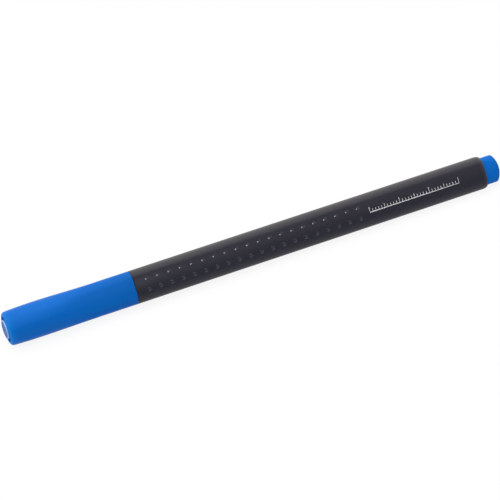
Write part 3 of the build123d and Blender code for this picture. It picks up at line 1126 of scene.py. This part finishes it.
def pale_floor(stage):
    """Matt floor, lifted part of the way to white where it is seen, so that it keeps a soft shadow."""
    finish = new_finish("pale_floor")
    cloud = finish.noise(FLOOR_CLOUD)
    tone = finish.tones(cloud, stage.floor_colour, 0.99, 1.0)
    matt = finish.node("ShaderNodeBsdfDiffuse", None, {"Color": tone})
    white = finish.node("ShaderNodeEmission", None, {"Color": WHITE, "Strength": 1.0})
    factor = stage.floor_white * seen_rays(finish)
    return finish.close(finish.node("ShaderNodeMixShader", None, {0: factor, 1: matt, 2: white}))


def glowing_sky(stage):
    """Glow of the dome: bright overhead and behind the pen, dimmer at the horizon, dark in front.

    A dim glow on the rear end's side reaches round to the front.
    """
    finish = new_finish("glowing_sky")
    per_radius = (1 / stage.sky_radius,) * 3
    along, backward, upward = (finish.axis(name, per_radius) for name in "XYZ")
    height = stage.sky_low + (1 - stage.sky_low) * finish.ramp(upward, 0, stage.sky_high)
    overhead = finish.ramp(backward, -stage.sky_dark, -stage.sky_bright)
    overhead = stage.sky_overhead * height * overhead
    rear = stage.sky_rear * finish.ramp(along, stage.rear_start, stage.rear_full)
    tone = finish.mix(overhead + rear, BLACK, stage.sky_tint)
    inputs = {"Color": tone, "Strength": stage.sky_gloss}
    return finish.close(finish.node("ShaderNodeEmission", None, inputs))


def add_floor(pen):
    """A flat floor, tilted so that both the cap's widest place and the barrel's rear rest on it."""
    rest = CAP_END + pen.cap.crown_length
    rear = BARREL_REAR - pen.barrel.rear_length
    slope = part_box("barrel")[0].z / (rear - rest)
    half = pen.stage.floor_size / 2
    x, y = np.meshgrid([-half, half], [half, -half], indexing="ij")
    points = np.stack([x, y, slope * (x - rest)], axis=-1)
    floor = add_object("floor", surface("floor", [points], closed_columns=False))
    floor.data.materials.append(pale_floor(pen.stage))


def add_sky(stage):
    """A dome round the pen, a half sphere that is seen only in gloss."""
    turn = np.linspace(0, 2 * math.pi, SKY_COLUMNS, endpoint=False)
    rise, around = np.meshgrid(quarter(SKY_ROWS)[:-1], turn, indexing="ij")
    points = np.stack(
        [np.cos(rise) * np.cos(around), np.cos(rise) * np.sin(around), np.sin(rise)], axis=-1
    )
    mesh = surface("sky", [stage.sky_radius * points], end=(0, 0, stage.sky_radius))
    sky = add_object("sky", mesh)
    sky.data.materials.append(glowing_sky(stage))
    sky.visible_camera = False
    sky.visible_diffuse = False
    sky.visible_transmission = False
    sky.visible_shadow = False


def add_room(stage):
    """A white room that lights the object more softly than it looks."""
    world = bpy.data.worlds.new("white_room")
    bpy.context.scene.world = world
    finish = Finish(world)
    strength = stage.ambient + (1 - stage.ambient) * seen_rays(finish)
    inputs = {"Color": WHITE, "Strength": strength}
    background = finish.node("ShaderNodeBackground", None, inputs)
    finish.node("ShaderNodeOutputWorld", None, {"Surface": background})


def add_softbox(name, power, size, place):
    """A square softbox that looks at the pen."""
    lamp = bpy.data.lights.new(name, "AREA")
    lamp.shape = "SQUARE"
    lamp.size = size
    lamp.energy = power
    softbox = add_object(name, lamp)
    softbox.location = place
    softbox.rotation_euler = (-Vector(place)).to_track_quat("-Z", "Y").to_euler()
    return softbox


def add_lamps(stage):
    """A wide softbox overhead, whose gloss the dome stands for, and a small one for gloss in front."""
    ceiling = add_softbox("ceiling", stage.ceiling_power, stage.ceiling_size, stage.ceiling_place)
    ceiling.visible_glossy = False
    front = add_softbox("front", stage.front_power, stage.front_size, stage.front_place)
    front.visible_diffuse = False


def add_camera(stage):
    """The camera: its back axis from azimuth and elevation, turned about itself by the roll."""
    turn, rise, roll = stage.camera_azimuth, stage.camera_elevation, stage.camera_roll
    back = Vector((math.sin(turn) * math.cos(rise), -math.cos(turn) * math.cos(rise), math.sin(rise)))
    level = Vector((math.cos(turn), math.sin(turn), 0.0))
    upright = back.cross(level)
    right = level * math.cos(roll) + upright * math.sin(roll)
    up = upright * math.cos(roll) - level * math.sin(roll)
    target = Vector((stage.camera_target, 0.0, AXIS_HEIGHT - stage.camera_drop))
    camera = bpy.data.cameras.new("camera")
    camera.lens = stage.camera_lens
    camera.clip_start = stage.camera_distance * CLIP_SHARE
    viewer = add_object("camera", camera)
    viewer.matrix_world = Matrix.Translation(target + back * stage.camera_distance) @ Matrix(
        (right, up, back)
    ).transposed().to_4x4()
    bpy.context.scene.camera = viewer


# Operators


class BuildBarrel(Operator):
    """Build the three-sided barrel"""

    bl_idname = "fineliner.build_barrel"
    bl_label = "Barrel"

    def execute(self, context):
        pen = context.scene.fineliner
        mesh = barrel_surface(pen.barrel, Section(pen.barrel))
        finish = satin_black(pen.finishes)
        add_piece("barrel_tube", mesh, finish, "pen", "black_plastic", "barrel")
        return {"FINISHED"}


class BuildDots(Operator):
    """Build the grip dots of the three faces"""

    bl_idname = "fineliner.build_dots"
    bl_label = "Grip dots"

    def execute(self, context):
        pen = context.scene.fineliner
        section = Section(pen.barrel)
        finish = soft_black(pen.finishes)
        for face, side in zip(FACE_ANGLES, ("under", "back", "front")):
            name = f"dots_{side}"
            mesh = dot_surface(name, pen.dots, section, face)
            add_piece(name, mesh, finish, "pen", "black_rubber", f"grip_dots_{side}")
        return {"FINISHED"}


class BuildNose(Operator):
    """Build the nose that carries the nib"""

    bl_idname = "fineliner.build_nose"
    bl_label = "Nose"

    def execute(self, context):
        pen = context.scene.fineliner
        mesh = nose_surface(pen.nose, Section(pen.barrel))
        finish = satin_black(pen.finishes)
        add_piece("nose_cone", mesh, finish, "pen", "black_plastic", "nose_section")
        return {"FINISHED"}


class BuildNib(Operator):
    """Build the nib's steel tube and its fibre"""

    bl_idname = "fineliner.build_nib"
    bl_label = "Nib"

    def execute(self, context):
        pen = context.scene.fineliner
        section = Section(pen.barrel)
        tube = tube_surface(pen.nib, section)
        add_piece("nib_sleeve", tube, drawn_steel(pen.finishes), "pen", "steel", "nib_tube")
        fibre = fibre_surface(pen.nib, section)
        add_piece("nib_point", fibre, inked_fibre(pen.finishes), "pen", "inked_fibre", "nib_core")
        return {"FINISHED"}


class DressInkStore(Operator):
    """Give the reservoir and its film their finishes"""

    bl_idname = "fineliner.dress_ink_store"
    bl_label = "Ink store"

    def execute(self, context):
        finishes = context.scene.fineliner.finishes
        dress("ink_reservoir", soaked_fibre(finishes))
        dress("reservoir_film", clear_film(finishes))
        return {"FINISHED"}


class BuildPlug(Operator):
    """Build the plug in the barrel's rear"""

    bl_idname = "fineliner.build_plug"
    bl_label = "End plug"

    def execute(self, context):
        pen = context.scene.fineliner
        mesh = plug_surface(pen.plug, Section(pen.barrel))
        finish = satin_blue(pen.finishes)
        add_piece("plug_moulding", mesh, finish, "pen", "blue_plastic", "end_plug")
        return {"FINISHED"}


class BuildCap(Operator):
    """Build the cap's shell and the cup inside it"""

    bl_idname = "fineliner.build_cap"
    bl_label = "Cap"

    def execute(self, context):
        pen = context.scene.fineliner
        section = Section(pen.barrel)
        shell = cap_surface(pen.cap, section)
        finish = cap_blue_painted_light(pen.finishes)
        add_piece("cap_moulding", shell, finish, "cap", "blue_plastic", "cap_shell")
        cup = liner_surface(pen.liner, section)
        pale = cup_painted_light(pen.finishes, pen.liner.boss_radius)
        add_piece("liner_cup", cup, pale, "cap", "pale_blue_plastic", "cap_liner")
        return {"FINISHED"}


class PrintScale(Operator):
    """Print a plain scale on the front face"""

    bl_idname = "fineliner.print_scale"
    bl_label = "Scale"

    def execute(self, context):
        pen = context.scene.fineliner
        mesh = print_surface(pen.scale, Section(pen.barrel), FACE_ANGLES[2])
        finish = white_ink(pen.finishes)
        piece = add_piece("printed_scale", mesh, finish, "pen", None)
        solid = piece.modifiers.new("ink", "SOLIDIFY")
        solid.thickness = pen.scale.ink
        solid.offset = -1
        return {"FINISHED"}


class SetStage(Operator):
    """Set up the floor, the light and the camera"""

    bl_idname = "fineliner.set_stage"
    bl_label = "Stage"

    def execute(self, context):
        pen = context.scene.fineliner
        context.scene.view_settings.view_transform = "Standard"
        add_floor(pen)
        for add in (add_sky, add_room, add_lamps, add_camera):
            add(pen.stage)
        return {"FINISHED"}


BUILDERS = (
    BuildBarrel,
    BuildDots,
    BuildNose,
    BuildNib,
    DressInkStore,
    BuildPlug,
    BuildCap,
    PrintScale,
    SetStage,
)


class FinelinerPanel(Panel):
    """Lists the steps that build the pen"""

    bl_idname = "VIEW3D_PT_fineliner"
    bl_label = "Fineliner"
    bl_space_type = "VIEW_3D"
    bl_region_type = "UI"
    bl_category = "Fineliner"

    def draw(self, context):
        for builder in BUILDERS:
            self.layout.operator(builder.bl_idname)


GROUPS = (
    BarrelSizes,
    DotSizes,
    CapSizes,
    LinerSizes,
    NoseSizes,
    NibSizes,
    PlugSizes,
    PrintSizes,
    FinishColours,
    StageSettings,
    FinelinerSettings,
)


def register():
    for kind in (*GROUPS, *BUILDERS, FinelinerPanel):
        bpy.utils.register_class(kind)
    bpy.types.Scene.fineliner = PointerProperty(type=FinelinerSettings)


def unregister():
    del bpy.types.Scene.fineliner
    for kind in reversed((*GROUPS, *BUILDERS, FinelinerPanel)):
        bpy.utils.unregister_class(kind)


def main():
    register()
    for builder in BUILDERS:
        family, step = builder.bl_idname.split(".")
        getattr(getattr(bpy.ops, family), step)()
    bpy.context.view_layer.update()


if __name__ == "__main__":
    main()
